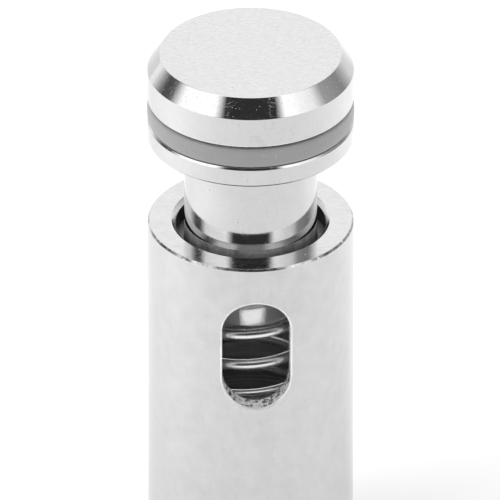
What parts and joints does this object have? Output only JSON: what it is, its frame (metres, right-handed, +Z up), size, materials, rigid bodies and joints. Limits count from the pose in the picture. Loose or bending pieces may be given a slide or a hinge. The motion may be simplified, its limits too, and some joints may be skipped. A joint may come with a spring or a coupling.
{
  "type": "cord lock",
  "caption": "Cylindrical spring cord lock: a barrel with a through-slot, a spring-loaded push button with a grip band, and a spring inside.",
  "frame": {"origin": "centre of the barrel's flat bottom face", "axes": "+Z up the barrel's axis to the push button; the cord slot runs through along Y, with -Y the front"},
  "size_m": [0.012, 0.012, 0.033],
  "materials": {
    "barrel": "polished",
    "base_plug": "polished",
    "plunger_stem": "polished",
    "button_head": "polished",
    "grip_ring": "satin",
    "spring": "bright drawn wire"
  },
  "bodies": {
    "barrel": {"barrel": "barrel", "base_plug": "base_plug"},
    "spring": {"spring": "spring"},
    "plunger": {"plunger_stem": "plunger_stem", "button_head": "button_head", "grip_ring": "grip_ring"}
  },
  "joints": [
    {"name": "plunger_turn", "type": "hinge", "parent": "barrel", "child": "spring", "pos_m": [0, 0, 0], "axis": [0, 0, 1], "continuous": true},
    {"name": "plunger_press", "type": "slide", "parent": "spring", "child": "plunger", "axis": [0, 0, -1], "range_m": [0, 0.0055], "stiffness_N_per_m": 600, "springref_m": -0.004, "deforming": ["spring"]}
  ]
}
